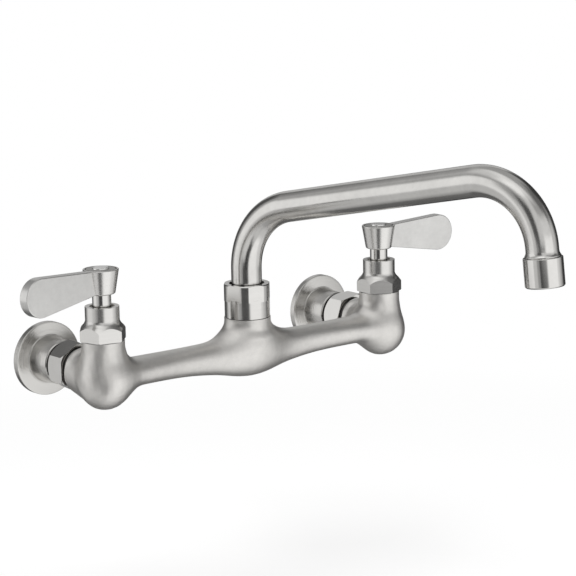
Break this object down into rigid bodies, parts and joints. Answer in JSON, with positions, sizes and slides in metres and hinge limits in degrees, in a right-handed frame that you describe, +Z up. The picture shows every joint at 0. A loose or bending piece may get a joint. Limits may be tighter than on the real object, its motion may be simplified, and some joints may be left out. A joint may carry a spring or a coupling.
{
  "type": "wall mounted two handle kitchen faucet",
  "caption": "Wall faucet with two lever valves on one casting, a swing spout with an aerator, and two flanged inlets with coupling nuts.",
  "frame": {"origin": "in the wall plane, midway between the two inlets, at the height of their axes", "axes": "+X to the cold side along the line of the inlets, +Y into the wall, +Z up"},
  "size_m": [0.315, 0.2705, 0.1416],
  "materials": {
    "satin_steel": "fine satin brushed, warm grey",
    "polished_steel": "polished, turned",
    "lever_steel": "flat satin",
    "brass": "machined",
    "rubber": "matt black",
    "ceramic": "lapped, off-white",
    "nylon": "plain, off-white",
    "button": "dark grey ring, bright centre"
  },
  "bodies": {
    "casting": {"valve_body": "satin_steel", "spout_nut": "polished_steel", "hot_inlet_flange": "satin_steel", "hot_union_tail": "brass", "hot_coupling_nut": "polished_steel", "hot_inlet_washer": "rubber", "hot_seat_seal": "rubber", "hot_fixed_disc": "ceramic", "hot_cage": "brass", "hot_bonnet": "polished_steel", "hot_bonnet_ring": "rubber", "cold_inlet_flange": "satin_steel", "cold_union_tail": "brass", "cold_coupling_nut": "polished_steel", "cold_inlet_washer": "rubber", "cold_seat_seal": "rubber", "cold_fixed_disc": "ceramic", "cold_cage": "brass", "cold_bonnet": "polished_steel", "cold_bonnet_ring": "rubber"},
    "hot_valve": {"hot_stem": "polished_steel", "hot_stem_ring": "rubber", "hot_moving_disc": "ceramic", "hot_handle": "lever_steel", "hot_handle_screw": "brass", "hot_index_button": "button"},
    "cold_valve": {"cold_stem": "polished_steel", "cold_stem_ring": "rubber", "cold_moving_disc": "ceramic", "cold_handle": "lever_steel", "cold_handle_screw": "brass", "cold_index_button": "button"},
    "swing_spout": {"spout": "satin_steel", "spout_bearing": "nylon", "spout_ring_1": "rubber", "spout_ring_2": "rubber", "aerator_shell": "polished_steel", "aerator_washer": "rubber", "aerator_insert": "nylon", "aerator_screen": "polished_steel"}
  },
  "joints": [
    {"name": "hot_handle_turn", "type": "hinge", "parent": "casting", "child": "hot_valve", "pos_m": [-0.1016, -0.06075, 0.045], "axis": [0, 0, 1], "range_deg": [0, 90]},
    {"name": "cold_handle_turn", "type": "hinge", "parent": "casting", "child": "cold_valve", "pos_m": [0.1016, -0.06075, 0.045], "axis": [0, 0, -1], "range_deg": [0, 90]},
    {"name": "spout_swing", "type": "hinge", "parent": "casting", "child": "swing_spout", "pos_m": [0, -0.06075, 0.02], "axis": [0, 0, 1], "range_deg": [-113, 87]}
  ]
}
